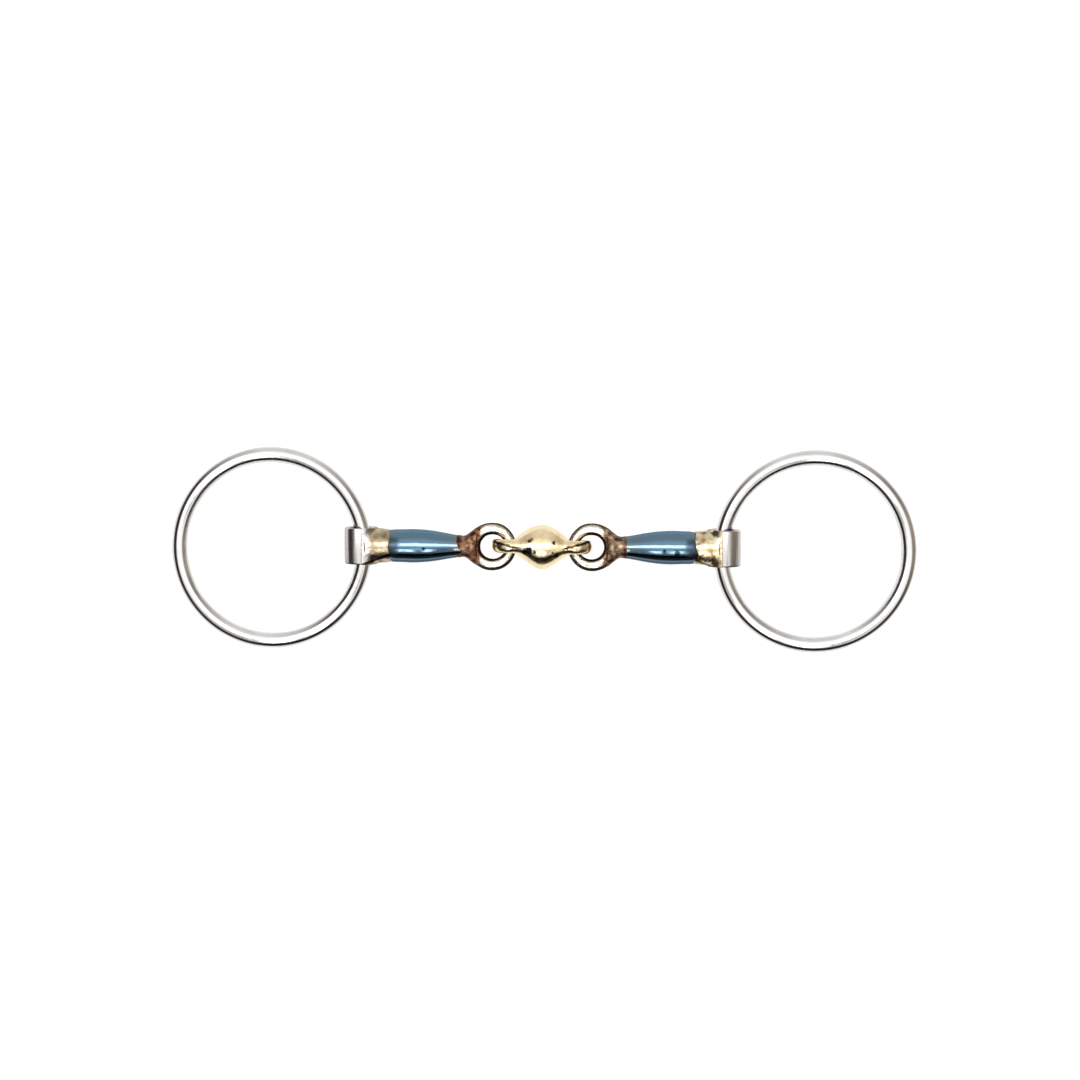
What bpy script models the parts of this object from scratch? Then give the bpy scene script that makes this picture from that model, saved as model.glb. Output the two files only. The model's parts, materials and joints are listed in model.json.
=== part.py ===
"""Snaffle bit: a double-jointed loose-ring bit, each piece a separate solid.

Metres, +Z up. The bit lies on the plane Z = 0 with its length along X. The lozenge is in
the middle, and each side reaches outwards from it: eye, cannon, sleeve, ring.
Each side is built once in a frame whose +X points outwards, and is turned into place.
The rings are centred on Y = 0, and the mouthpiece lies a little towards +Y in them.
"""
import math

import bmesh
import bpy

# The loose ring and the sleeve that it runs through
RING_OUTER = 0.0706
RING_WIRE = 0.0054
MOUTH_WIDTH = 0.127
SLEEVE_OUTER = 0.0110
SLEEVE_BORE = 0.0088
SLEEVE_LENGTH = 0.0127
SLEEVE_EDGE = 0.0004
RING_PLAY_IN = 0.00125
RING_PLAY_DOWN = 0.0005
RING_PLAY_ALONG = 0.0012

# The lozenge: a ball that tapers into a flat eye at each end
LOZENGE_LENGTH = 0.0352
BALL = 0.0155
FLANK_NECK = 0.0052
FLANK_REACH = 0.011
FLANK_END = 0.0104
FLANK_POWER = 0.8
FLANK_TAPER = 0.42
FLANK_TAPER_FROM = 0.0082
FLANK_TOP = 0.0122
LINK_HOLE = 0.0056
LINK_WALL = 0.0035
LINK_THICK = 0.0047
LINK_FLARE = 0.00030
LINK_DRILL_STOCK = 0.00012

# The eye loop at the inner end of each cannon
EYE_OUTER = 0.0167
EYE_WIRE = 0.0038
WIRE_IN_LINK = 0.00040
WIRE_UNDER_LINK = 0.00045

# The cannon: X of its stations from the middle of the bit, and its diameters there
BARREL_SHAPE = (
    (0.0290, 0.0077),
    (0.0305, 0.0081),
    (0.0330, 0.0090),
    (0.0360, 0.0101),
    (0.0395, 0.0111),
    (0.0425, 0.0116),
    (0.0455, 0.01175),
    (0.0490, 0.0115),
    (0.0530, 0.01135),
)
OUTER_SPIGOT = (0.0574, 0.0072)
INNER_SPIGOT = (0.0264, 0.0044)
SPIGOT_DEPTH = 0.006

# Braze round each joint: X, half width, half height, squareness of the section
SLEEVE_BRAZE_SHAPE = (
    (0.0533, 0.00568, 0.00568, 2.0),
    (0.0550, 0.00582, 0.00570, 2.1),
    (0.0570, 0.00632, 0.00582, 2.5),
    (0.0588, 0.00658, 0.00595, 3.4),
    (0.0606, 0.00660, 0.00595, 4.2),
    (0.0624, 0.00655, 0.00595, 4.2),
)
EYE_BRAZE_SHAPE = (
    (0.0287, 0.00382, 0.00382, 2.0),
    (0.0273, 0.00365, 0.00360, 2.0),
    (0.0259, 0.00395, 0.00335, 2.1),
    (0.0247, 0.00465, 0.00295, 2.3),
    (0.02375, 0.00540, 0.00265, 2.6),
)

FIT_GAP = 0.0003
FLOOR_GAP = 0.00002
RING_SEGMENTS = 56
EYE_SEGMENTS = 32
ROUND_SEGMENTS = 28
WIRE_SIDES = 12
DRILL_SEGMENTS = 30
SHARP_ANGLE = math.radians(38)

# Where the joints come, from the sizes above
RING_RADIUS = (RING_OUTER - RING_WIRE) / 2
EYE_RADIUS = (EYE_OUTER - EYE_WIRE) / 2
LINK_RADIUS = (LINK_HOLE + LINK_WALL) / 2
LINK_X = (LOZENGE_LENGTH - LINK_WALL) / 2 - LINK_RADIUS
LOZENGE_HEIGHT = BALL / 2
FOLD_X = LINK_X - WIRE_IN_LINK
FOLD_HEIGHT = LOZENGE_HEIGHT - WIRE_UNDER_LINK
SLEEVE_X = MOUTH_WIDTH / 2
SLEEVE_HEIGHT = SLEEVE_BRAZE_SHAPE[-1][2] + FLOOR_GAP
CANNON_TILT = math.atan2(FOLD_HEIGHT - SLEEVE_HEIGHT, SLEEVE_X - FOLD_X)
RING_TILT = math.asin(
    (SLEEVE_HEIGHT - RING_PLAY_DOWN - RING_WIRE / 2) / (2 * RING_RADIUS - RING_PLAY_IN)
)

BRASS = ("brass", (0.83, 0.64, 0.33), 0.22, 1.0)
EYE_METAL = ("eye_metal", (0.72, 0.60, 0.47), 0.28, 1.0)
BRAZE_BROWN = ("heat_tinted_braze", (0.34, 0.20, 0.12), 0.50, 1.0)
BRAZE_GOLD = ("golden_braze", (0.76, 0.60, 0.36), 0.34, 1.0)
BLUED_STEEL = ("blued_steel", (0.10, 0.24, 0.34), 0.22, 1.0)
SLEEVE_STEEL = ("sleeve_steel", (0.70, 0.66, 0.64), 0.26, 1.0)
RING_STEEL = ("ring_steel", (0.78, 0.77, 0.75), 0.14, 1.0)


def clear_scene():
    for item in list(bpy.data.objects):
        bpy.data.objects.remove(item, do_unlink=True)


def make_material(spec):
    """A metal from its name, colour, roughness and metallic value, made once."""
    name, colour, roughness, metallic = spec
    material = bpy.data.materials.get(name)
    if material:
        return material
    material = bpy.data.materials.new(name)
    material.use_nodes = True
    shader = material.node_tree.nodes["Principled BSDF"]
    shader.inputs["Base Color"].default_value = (*colour, 1.0)
    shader.inputs["Roughness"].default_value = roughness
    shader.inputs["Metallic"].default_value = metallic
    material.diffuse_color = (*colour, 1.0)
    return material


def make_object(name, mesh_builder, parent, place, spec):
    """Put a closed bmesh into the scene as a named piece under its parent."""
    bmesh.ops.recalc_face_normals(mesh_builder, faces=mesh_builder.faces)
    mesh = bpy.data.meshes.new(name)
    mesh_builder.to_mesh(mesh)
    mesh_builder.free()
    mesh.shade_smooth()
    mesh.set_sharp_from_angle(angle=SHARP_ANGLE)
    if spec:
        mesh.materials.append(make_material(spec))
    piece = bpy.data.objects.new(name, mesh)
    piece.location = place
    piece.parent = parent
    bpy.context.collection.objects.link(piece)
    return piece


def make_axis(name, parent, place, turn=(0.0, 0.0, 0.0)):
    """An empty that stands on a joint's axis and carries what turns about it."""
    axis = bpy.data.objects.new(name, None)
    axis.empty_display_size = 0.005
    axis.location = place
    axis.rotation_euler = turn
    axis.parent = parent
    bpy.context.collection.objects.link(axis)
    return axis


def turned(outline, axis, steps, closed=False):
    """Spin an outline of (along the axis, radius) points about the X, Y or Z axis."""
    along = "XYZ".index(axis)
    out = (along + 1) % 3
    builder = bmesh.new()
    corners = []
    for distance, radius in outline:
        point = [0.0, 0.0, 0.0]
        point[along] = distance
        point[out] = radius
        corners.append(builder.verts.new(point))
    pairs = list(zip(corners, corners[1:]))
    if closed:
        pairs.append((corners[-1], corners[0]))
    edges = [builder.edges.new(pair) for pair in pairs]
    direction = [0.0, 0.0, 0.0]
    direction[along] = 1.0
    bmesh.ops.spin(
        builder,
        geom=corners + edges,
        cent=(0.0, 0.0, 0.0),
        axis=direction,
        angle=math.tau,
        steps=steps,
        use_merge=True,
    )
    bmesh.ops.remove_doubles(builder, verts=builder.verts, dist=1e-6)
    return builder


def torus(radius, half_radial, half_axial, axis, steps, sides=WIRE_SIDES):
    """A ring whose section is an ellipse, round the given axis."""
    outline = []
    for step in range(sides):
        angle = math.tau * step / sides
        outline.append((half_axial * math.sin(angle), radius + half_radial * math.cos(angle)))
    return turned(outline, axis, steps, closed=True)


def rod(start, end, radius, axis, steps=ROUND_SEGMENTS):
    """A plain round bar from start to end along an axis."""
    return turned([(start, 0.0), (start, radius), (end, radius), (end, 0.0)], axis, steps)


def section_point(angle, half_width, half_height, squareness):
    """A point of a rounded section: an ellipse at squareness 2, squarer above that."""
    power = 2.0 / squareness
    across = math.copysign(abs(math.cos(angle)) ** power, math.cos(angle))
    upward = math.copysign(abs(math.sin(angle)) ** power, math.sin(angle))
    return half_width * across, half_height * upward


def lofted(stations, offset):
    """Join rounded sections (X, half width, half height, squareness) along X."""
    builder = bmesh.new()
    loops = []
    for x, half_width, half_height, squareness in stations:
        loop = []
        for step in range(ROUND_SEGMENTS):
            angle = math.tau * (step + 0.5) / ROUND_SEGMENTS
            y, z = section_point(angle, half_width, half_height, squareness)
            loop.append(builder.verts.new((x - offset, y, z)))
        loops.append(loop)
    for loop, following in zip(loops, loops[1:]):
        for step in range(ROUND_SEGMENTS):
            after = (step + 1) % ROUND_SEGMENTS
            builder.faces.new((loop[step], loop[after], following[after], following[step]))
    builder.faces.new(loops[0])
    builder.faces.new(loops[-1])
    return builder


def combine(piece, tool, operation):
    """Join a tool solid to a piece, or cut it away, and keep the tool out of the build."""
    tool.hide_render = True
    tool.display_type = "WIRE"
    modifier = piece.modifiers.new(tool.name, "BOOLEAN")
    modifier.operation = operation
    modifier.solver = "EXACT"
    modifier.object = tool


def flank_width(x):
    """Half width of the lozenge's ball and flanks at a distance from its middle."""
    rise = (0.5 * (1.0 + math.cos(math.pi * x / FLANK_REACH))) ** FLANK_POWER
    narrowed = max(0.0, (abs(x) - FLANK_TAPER_FROM) / (FLANK_END - FLANK_TAPER_FROM))
    swollen = FLANK_NECK / 2 + (BALL - FLANK_NECK) / 2 * rise
    return swollen * (1.0 - FLANK_TAPER * narrowed**2)


def flank_height(x):
    """Half height there: the flanks stay nearly as tall as the upright eyes they meet."""
    rise = 0.5 * (1.0 + math.cos(math.pi * x / LINK_X))
    return FLANK_TOP / 2 + (BALL - FLANK_TOP) / 2 * rise


def waisted_drill():
    """The cutter for a link's hole: narrowest in the middle, flared for the eye's curve."""
    half = BALL / 2
    count = 7
    outline = [(-half, 0.0)]
    for step in range(count + 1):
        y = half * (2.0 * step / count - 1.0)
        outline.append((y, LINK_HOLE / 2 + LINK_FLARE * (y / (LINK_THICK / 2)) ** 2))
    outline.append((half, 0.0))
    return turned(outline, "Y", DRILL_SEGMENTS)


def build_lozenge():
    """The brass middle link: ball, tapering flanks and two upright eyes."""
    count = 20
    outline = [(-FLANK_END, 0.0)]
    for step in range(count + 1):
        x = FLANK_END * math.sin(math.pi / 2 * (2.0 * step / count - 1.0))
        outline.append((x, flank_width(x)))
    outline.append((FLANK_END, 0.0))
    middle_place = (0.0, RING_PLAY_ALONG, LOZENGE_HEIGHT)
    solid = turned(outline, "X", ROUND_SEGMENTS)
    for vert in solid.verts:
        vert.co.z *= flank_height(vert.co.x) / flank_width(vert.co.x)
    lozenge = make_object("lozenge", solid, None, middle_place, BRASS)
    for side in (-1, 1):
        place = (side * LINK_X, RING_PLAY_ALONG, LOZENGE_HEIGHT)
        middle = LINK_RADIUS - LINK_DRILL_STOCK
        wall = LINK_WALL / 2 + LINK_DRILL_STOCK
        ring = torus(middle, wall, LINK_THICK / 2, "Y", EYE_SEGMENTS)
        combine(lozenge, make_object(f"link_tool_{side}", ring, None, place, None), "UNION")
    for side in (-1, 1):
        place = (side * LINK_X, RING_PLAY_ALONG, LOZENGE_HEIGHT)
        drill = waisted_drill()
        combine(lozenge, make_object(f"drill_tool_{side}", drill, None, place, None), "DIFFERENCE")


def build_eye(side_name, fold_axis):
    """The wire eye loop, which hangs in the lozenge's eye."""
    loop = torus(EYE_RADIUS, EYE_WIRE / 2, EYE_WIRE / 2, "Z", EYE_SEGMENTS)
    make_object(f"{side_name}_eye", loop, fold_axis, (EYE_RADIUS, 0.0, 0.0), EYE_METAL)


def build_barrel(side_name, turn_axis, offset):
    """The blued bar: fattest near its outer end, with a spigot into each braze."""
    inner_x, inner_size = INNER_SPIGOT
    outer_x, outer_size = OUTER_SPIGOT
    outline = [(inner_x, 0.0), (inner_x, inner_size / 2), (BARREL_SHAPE[0][0], inner_size / 2)]
    outline += [(x, diameter / 2) for x, diameter in BARREL_SHAPE]
    outline += [(BARREL_SHAPE[-1][0], outer_size / 2), (outer_x, outer_size / 2), (outer_x, 0.0)]
    outline = [(x - offset, radius) for x, radius in outline]
    solid = turned(outline, "X", ROUND_SEGMENTS)
    make_object(f"{side_name}_barrel", solid, turn_axis, (0.0, 0.0, 0.0), BLUED_STEEL)


def build_eye_braze(side_name, turn_axis, offset):
    """The brown web that joins the barrel's thin end to the eye loop."""
    solid = lofted(EYE_BRAZE_SHAPE, offset)
    web = make_object(f"{side_name}_eye_braze", solid, turn_axis, (0.0, 0.0, 0.0), BRAZE_BROWN)
    seat = torus(EYE_RADIUS, EYE_WIRE / 2 + FIT_GAP, EYE_WIRE / 2 + FIT_GAP, "Z", EYE_SEGMENTS)
    seat_tool = make_object(f"{side_name}_seat_tool", seat, turn_axis, (0.0, 0.0, 0.0), None)
    combine(web, seat_tool, "DIFFERENCE")
    inner_x, inner_size = INNER_SPIGOT
    start = inner_x - FIT_GAP - offset
    socket = rod(start, start + SPIGOT_DEPTH, inner_size / 2 + FIT_GAP, "X")
    socket_tool = make_object(f"{side_name}_socket_tool", socket, turn_axis, (0, 0, 0), None)
    combine(web, socket_tool, "DIFFERENCE")


def build_sleeve_braze(side_name, turn_axis, offset):
    """The golden saddle that wraps the sleeve's inner half and the barrel's fat end."""
    solid = lofted(SLEEVE_BRAZE_SHAPE, offset)
    saddle = make_object(f"{side_name}_sleeve_braze", solid, turn_axis, (0, 0, 0), BRAZE_GOLD)
    tube = rod(-SLEEVE_LENGTH, SLEEVE_LENGTH, SLEEVE_OUTER / 2 + FIT_GAP, "Y")
    place = (sleeve_reach() - EYE_RADIUS, 0.0, 0.0)
    tube_tool = make_object(f"{side_name}_tube_tool", tube, turn_axis, place, None)
    combine(saddle, tube_tool, "DIFFERENCE")
    outer_x, outer_size = OUTER_SPIGOT
    end = outer_x + FIT_GAP - offset
    socket = rod(end - SPIGOT_DEPTH, end, outer_size / 2 + FIT_GAP, "X")
    socket_tool = make_object(f"{side_name}_spigot_tool", socket, turn_axis, (0, 0, 0), None)
    combine(saddle, socket_tool, "DIFFERENCE")


def build_sleeve(side_name, swing_axis):
    """The short steel tube that the ring runs through, with softened edges."""
    half = SLEEVE_LENGTH / 2
    outer = SLEEVE_OUTER / 2
    bore = SLEEVE_BORE / 2
    outline = [
        (-half, bore + SLEEVE_EDGE),
        (-half, outer - SLEEVE_EDGE),
        (-half + SLEEVE_EDGE, outer),
        (half - SLEEVE_EDGE, outer),
        (half, outer - SLEEVE_EDGE),
        (half, bore + SLEEVE_EDGE),
        (half - SLEEVE_EDGE, bore),
        (-half + SLEEVE_EDGE, bore),
    ]
    solid = turned(outline, "Y", ROUND_SEGMENTS, closed=True)
    make_object(f"{side_name}_sleeve", solid, swing_axis, (0.0, 0.0, 0.0), SLEEVE_STEEL)


def build_ring(side_name, side, swing_axis):
    """The loose ring, whose wire lies low and inboard in the sleeve's bore."""
    place = (RING_RADIUS - RING_PLAY_IN, -side * RING_PLAY_ALONG, -RING_PLAY_DOWN)
    solid = torus(RING_RADIUS, RING_WIRE / 2, RING_WIRE / 2, "Z", RING_SEGMENTS)
    make_object(f"{side_name}_ring", solid, swing_axis, place, RING_STEEL)


def sleeve_reach():
    """Distance from the fold axis to the sleeve's axis, along the cannon."""
    return math.hypot(SLEEVE_X - FOLD_X, FOLD_HEIGHT - SLEEVE_HEIGHT)


def build_side(side_name, side):
    """One half of the bit, on a chain of axes that starts at the lozenge's eye."""
    heading = 0.0 if side > 0 else math.pi
    fold_place = (side * FOLD_X, RING_PLAY_ALONG, FOLD_HEIGHT)
    fold_axis = make_axis(f"{side_name}_fold_axis", None, fold_place, (0, CANNON_TILT, heading))
    turn_axis = make_axis(f"{side_name}_turn_axis", fold_axis, (EYE_RADIUS, 0.0, 0.0))
    swing_place = (sleeve_reach() - EYE_RADIUS, 0.0, 0.0)
    swing_turn = (0.0, RING_TILT - CANNON_TILT, 0.0)
    swing_axis = make_axis(f"{side_name}_swing_axis", turn_axis, swing_place, swing_turn)
    offset = FOLD_X + EYE_RADIUS
    build_eye(side_name, fold_axis)
    build_barrel(side_name, turn_axis, offset)
    build_eye_braze(side_name, turn_axis, offset)
    build_sleeve_braze(side_name, turn_axis, offset)
    build_sleeve(side_name, swing_axis)
    build_ring(side_name, side, swing_axis)


def main():
    clear_scene()
    build_lozenge()
    build_side("left", -1)
    build_side("right", 1)


main()
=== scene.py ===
"""Looks of the snaffle bit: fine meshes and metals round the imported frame, in metres."""
import json
import math

import bmesh
import bpy
import numpy as np
from mathutils import Matrix, Vector


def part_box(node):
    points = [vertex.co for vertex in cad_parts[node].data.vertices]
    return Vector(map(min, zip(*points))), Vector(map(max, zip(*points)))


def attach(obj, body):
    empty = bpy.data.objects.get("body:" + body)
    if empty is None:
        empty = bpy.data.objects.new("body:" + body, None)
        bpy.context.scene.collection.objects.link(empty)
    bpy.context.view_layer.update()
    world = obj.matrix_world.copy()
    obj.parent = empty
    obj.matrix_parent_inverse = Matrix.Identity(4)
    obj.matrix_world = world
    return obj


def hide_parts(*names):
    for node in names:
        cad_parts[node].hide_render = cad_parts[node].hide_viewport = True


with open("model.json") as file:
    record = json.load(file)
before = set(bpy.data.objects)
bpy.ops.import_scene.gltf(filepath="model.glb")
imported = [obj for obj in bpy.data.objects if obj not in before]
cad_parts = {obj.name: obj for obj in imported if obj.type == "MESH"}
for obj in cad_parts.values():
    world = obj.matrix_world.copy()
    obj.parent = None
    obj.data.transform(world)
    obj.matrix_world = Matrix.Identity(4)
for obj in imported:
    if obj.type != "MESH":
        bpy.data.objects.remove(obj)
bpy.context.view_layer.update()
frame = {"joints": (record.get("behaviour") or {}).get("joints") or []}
JOINTS = {joint["name"]: joint for joint in frame["joints"]}
MM = 0.001

# How fine the meshes are: steps round and across the wires, along and round the bar, and the
# size of a grid cell in the shapes that are made from distances
RING_STEPS = (320, 48)
EYE_STEPS = (160, 48)
BAR_STEPS = (150, 96)
SLEEVE_STEPS = 128
CASTING_CELL = 0.22 * MM
BRAZE_CELL = 0.2 * MM

# Camera: nearly straight above, a little towards +Y and +X, with a long lens
CAMERA_DISTANCE = 1.0
CAMERA_TILT_Y = math.radians(4.95)
CAMERA_TILT_X = math.radians(2.3)
CAMERA_ROLL = math.radians(0.22)
FRAME_WIDTH = 0.376
AIM = Vector((-0.0008, 0.0034, 0.005))

# Wires and sleeves: sizes that the frame's boxes do not give directly
RING_WIRE = 0.0054
RING_WOBBLE = 0.000012
EYE_WIRE = 0.0038
EYE_WOBBLE = 0.00005
EYE_EXTRA = 0.00035
SLEEVE_BORE = 0.0088
SLEEVE_EDGE = 0.0006
SLEEVE_EDGE_STEPS = 6

# The lozenge: its two eyes, its flanks, and how far the flanks' upper half is bent towards +Y
LINK_HOLE = 0.0056
LINK_WALL = 0.0035
LINK_THICK = 0.0047
LINK_BLEND = 0.0012
LINK_FLARE = 0.00030
LINK_HOLE_EDGE = 0.0005
FLANK_NECK = 0.0052
FLANK_REACH = 0.011
FLANK_END = 0.0104
FLANK_POWER = 0.8
FLANK_TAPER = 0.42
FLANK_TAPER_FROM = 0.0082
FLANK_TOP = 0.0122
BEND_LEFT = 0.00055
BEND_RIGHT = 0.00025
BEND_REACH = 0.0046
BEND_FROM = -0.0018
BEND_RISE = 0.0020

# Ripples of the casting and the brazes, coarse and then fine: height and width
CASTING_RIPPLES = ((0.055 * MM, 3.0 * MM), (0.016 * MM, 1.1 * MM))
WEB_RIPPLES = ((0.09 * MM, 1.9 * MM), (0.03 * MM, 0.7 * MM))
SADDLE_RIPPLES = ((0.05 * MM, 2.2 * MM), (0.02 * MM, 0.8 * MM))

# Dark spots on the lozenge's top, partly tarnish and partly painted dark reflections: x, y and
# radius, from its middle
TARNISH_AND_DARK_REFLECTIONS = (
    (-0.0043, -0.0005, 0.00125),
    (-0.0060, -0.0012, 0.00080),
    (-0.0036, 0.0027, 0.00080),
    (-0.0024, -0.0012, 0.00055),
    (0.0046, 0.0021, 0.00050),
    (0.0053, -0.0024, 0.00080),
    (0.0038, -0.0015, 0.00050),
)

# The bar: how uneven it is, as a part of its radius; then distance from the middle of the bit,
# and diameter there
BAR_WOBBLE = 0.006
BARREL_SHAPE = (
    (0.0262, 0.0060),
    (0.0276, 0.0073),
    (0.0290, 0.0077),
    (0.0305, 0.0081),
    (0.0330, 0.0090),
    (0.0360, 0.0101),
    (0.0395, 0.0111),
    (0.0425, 0.0116),
    (0.0455, 0.01175),
    (0.0490, 0.0115),
    (0.0512, 0.0114),
    (0.0527, 0.0110),
    (0.0542, 0.0102),
    (0.0560, 0.0088),
)

# The brazes: distance from the middle of the bit, half width and half height there
SADDLE_SHAPE = (
    (0.0522, 0.00545, 0.00545),
    (0.0535, 0.00576, 0.00574),
    (0.0550, 0.00592, 0.00580),
    (0.0570, 0.00618, 0.00583),
    (0.0588, 0.00628, 0.00586),
    (0.0640, 0.00630, 0.00588),
)
WEB_SHAPE = (
    (0.0302, 0.00385, 0.00385),
    (0.0290, 0.00392, 0.00390),
    (0.0273, 0.00372, 0.00366),
    (0.0259, 0.00405, 0.00335),
    (0.0247, 0.00465, 0.00295),
    (0.0232, 0.00540, 0.00250),
)
WEB_START = 0.0232
WEB_END = 0.0300
WEB_SKIN = 0.00014
WEB_HUG = 0.00030
WEB_BLEND = 0.0019
WEB_FADE = 0.42 * MM
WEB_FADE_ANGLE = 1.15
WEB_LEAST = 0.3 * MM
WEB_ROOM = (9.5 * MM, 5.0 * MM)
SADDLE_START = 0.0524
SADDLE_END = 0.0612
SADDLE_SKIN = 0.00030
SADDLE_HALF_LENGTH = 0.0064
SADDLE_LIP = 0.0011
SADDLE_LIP_RAGGED = 0.12 * MM
SADDLE_LIP_BLEND = 0.35 * MM
SADDLE_EDGE_RAGGED = 0.9 * MM
SADDLE_EDGE_WIDTH = 2.6 * MM
SADDLE_EDGE_STEEP = 0.35
SADDLE_HALF_WIDTH = 5.5 * MM
SADDLE_BORE_IN = 0.25 * MM
SADDLE_BLEND = 0.0009
SADDLE_ROOM = (7.4 * MM, 6.6 * MM)
SADDLE_BULGE = {"left": 0.0002, "right": 0.0013}

# A pit in the right saddle: its place from the sleeve's axis, the radius of its raised lip,
# and how high or deep and how wide the lip and the hole are
PIT_PLACE = (-0.0062, -0.0034, 0.0043)
PIT_LIP_RADIUS = 0.0015
PIT_LIP = (0.00016, 0.00035)
PIT_HOLE = (0.00030, 0.00075)

# Patterns of the noise: one number for each uneven piece
SEEDS = {
    "ring": 11,
    "left_eye": 21,
    "right_eye": 22,
    "left_bar": 31,
    "right_bar": 32,
    "left_web": 41,
    "right_web": 42,
    "left_saddle": 51,
    "right_saddle": 57,
    "casting": 5,
    "casting_fine": 6,
}

# Colours of the blued bar, from the eye's braze (0) to the sleeve's braze (1)
BLUING = (
    (0.00, (0.20, 0.11, 0.065)),
    (0.06, (0.17, 0.14, 0.12)),
    (0.13, (0.14, 0.18, 0.20)),
    (0.28, (0.105, 0.185, 0.255)),
    (0.75, (0.105, 0.195, 0.275)),
    (0.90, (0.12, 0.19, 0.24)),
    (1.00, (0.20, 0.17, 0.13)),
)

# Painted dark reflections on top of the bars: distance from the middle of the bit, then towards
# +Y, and radius
BAR_DARK_REFLECTIONS = {
    "left": ((0.0408, -0.0006, 0.00062),),
    "right": ((0.0424, -0.0007, 0.00058), (0.0468, -0.0015, 0.00095)),
}

# Colours of the brown brazes at the eyes, from the darkest patches to the palest
BROWN_SHADES = {
    "left": (
        (0.028, 0.014, 0.010),
        (0.12, 0.052, 0.026),
        (0.20, 0.098, 0.052),
        (0.28, 0.175, 0.115),
        (0.42, 0.31, 0.24),
    ),
    "right": (
        (0.024, 0.016, 0.011),
        (0.11, 0.066, 0.038),
        (0.20, 0.130, 0.080),
        (0.32, 0.235, 0.160),
        (0.46, 0.39, 0.30),
    ),
}

# Colours of the golden brazes at the sleeves, from the darkest patches to the palest
GOLD_SHADES = {
    "left": (
        (0.15, 0.10, 0.06),
        (0.28, 0.21, 0.135),
        (0.40, 0.31, 0.20),
        (0.54, 0.46, 0.35),
    ),
    "right": (
        (0.13, 0.075, 0.04),
        (0.38, 0.26, 0.14),
        (0.62, 0.49, 0.30),
        (0.76, 0.67, 0.49),
    ),
}

# The golden brazes: how burnt they are by the bar, from 0 to 1; how far inwards of the sleeve's
# axis they turn pale; and their dark seam as distance from the middle of the bit, distance
# towards -Y there, slope and half width
BURN = {"left": 0.25, "right": 0.9}
PALE_BRAZE = {"left": 0.0036, "right": -0.0020}
BRAZE_SEAM = {
    "left": (0.0527, 0.0029, 0.36, 0.00050),
    "right": (0.0535, 0.0042, 0.40, 0.00045),
}

# Reflected studio walls: angle from +X towards +Y, where the wall begins and ends in degrees
# from straight up, and its colour
WALLS = (
    (-180, 38, 92, (0.035, 0.030, 0.032)),
    (-150, 40, 91, (0.032, 0.028, 0.030)),
    (-120, 44, 95, (0.045, 0.038, 0.035)),
    (-90, 47, 98, (0.055, 0.048, 0.042)),
    (-60, 47, 100, (0.065, 0.058, 0.050)),
    (-30, 44, 103, (0.080, 0.070, 0.060)),
    (-12, 42, 110, (0.30, 0.26, 0.21)),
    (12, 42, 110, (0.40, 0.35, 0.29)),
    (30, 42, 102, (0.27, 0.25, 0.22)),
    (58, 45, 112, (0.62, 0.60, 0.58)),
    (75, 50, 112, (0.84, 0.84, 0.83)),
    (108, 50, 112, (0.84, 0.84, 0.84)),
    (124, 50, 110, (0.56, 0.55, 0.54)),
    (150, 44, 95, (0.07, 0.06, 0.06)),
    (170, 38, 92, (0.040, 0.034, 0.035)),
)
OVERHEAD = (1.28, 1.28, 1.28)
GROUND = (1.06, 1.06, 1.06)

# Reflected patches, each over those before it: from and to in degrees towards +Y, the same
# towards +X, how soft its edges are in degrees, and its colour. The first one is dark.
LAMPS = (
    ((-76, -50), (-60, 60), 4, (0.008, 0.008, 0.010)),
    ((-47, -13), (-30, 22), 4, (0.5, 0.5, 0.5)),
    ((-26, -10), (-8, 3), 3, (1.6, 1.6, 1.6)),
    ((-38, -20), (-15, -7), 2, (6.0, 6.0, 6.0)),
    ((-38, -20), (2, 10), 2, (6.0, 6.0, 6.0)),
    ((2, 21), (-30, 19), 3, (6.2, 6.2, 6.2)),
)


def side_sign(name):
    """-1 for the left side of the bit and 1 for the right."""
    return -1.0 if name == "left" else 1.0


def joint_place(name):
    return Vector(JOINTS[name]["pos_m"])


def joint_frame(name, joint):
    """A matrix at a side's joint: Z is the joint's axis and X points outwards along the bit."""
    z_axis = Vector(JOINTS[f"{name}_{joint}"]["axis"]).normalized()
    outwards = Vector((side_sign(name), 0.0, 0.0))
    x_axis = (outwards - z_axis * outwards.dot(z_axis)).normalized()
    y_axis = z_axis.cross(x_axis)
    rows = Matrix((x_axis, y_axis, z_axis)).transposed().to_4x4()
    return Matrix.Translation(joint_place(f"{name}_{joint}")) @ rows


# ---------------------------------------------------------------- smooth noise and curves

def scrambled(cell, seed):
    """A number from -1 to 1 for each lattice cell, the same on every run."""
    mixed = cell[:, 0] * 73856093 ^ cell[:, 1] * 19349663 ^ cell[:, 2] * 83492791
    mixed = (mixed ^ seed * 2654435761) & 0xFFFFFFFF
    mixed = (mixed * 1103515245 + 12345) & 0x7FFFFFFF
    mixed = (mixed ^ mixed >> 13) * 1274126177 & 0x7FFFFFFF
    return mixed / 0x3FFFFFFF - 1.0


def lattice_noise(points, size, seed):
    """Smooth value noise from -1 to 1 over points, with cells of the given size."""
    scaled = points / size
    base = np.floor(scaled).astype(np.int64)
    part = scaled - base
    ease = part * part * (3.0 - 2.0 * part)
    total = np.zeros(len(points))
    for corner in range(8):
        shift = np.array([corner >> 2 & 1, corner >> 1 & 1, corner & 1])
        weight = np.prod(np.where(shift == 1, ease, 1.0 - ease), axis=1)
        total += weight * scrambled(base + shift, seed)
    return total


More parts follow.
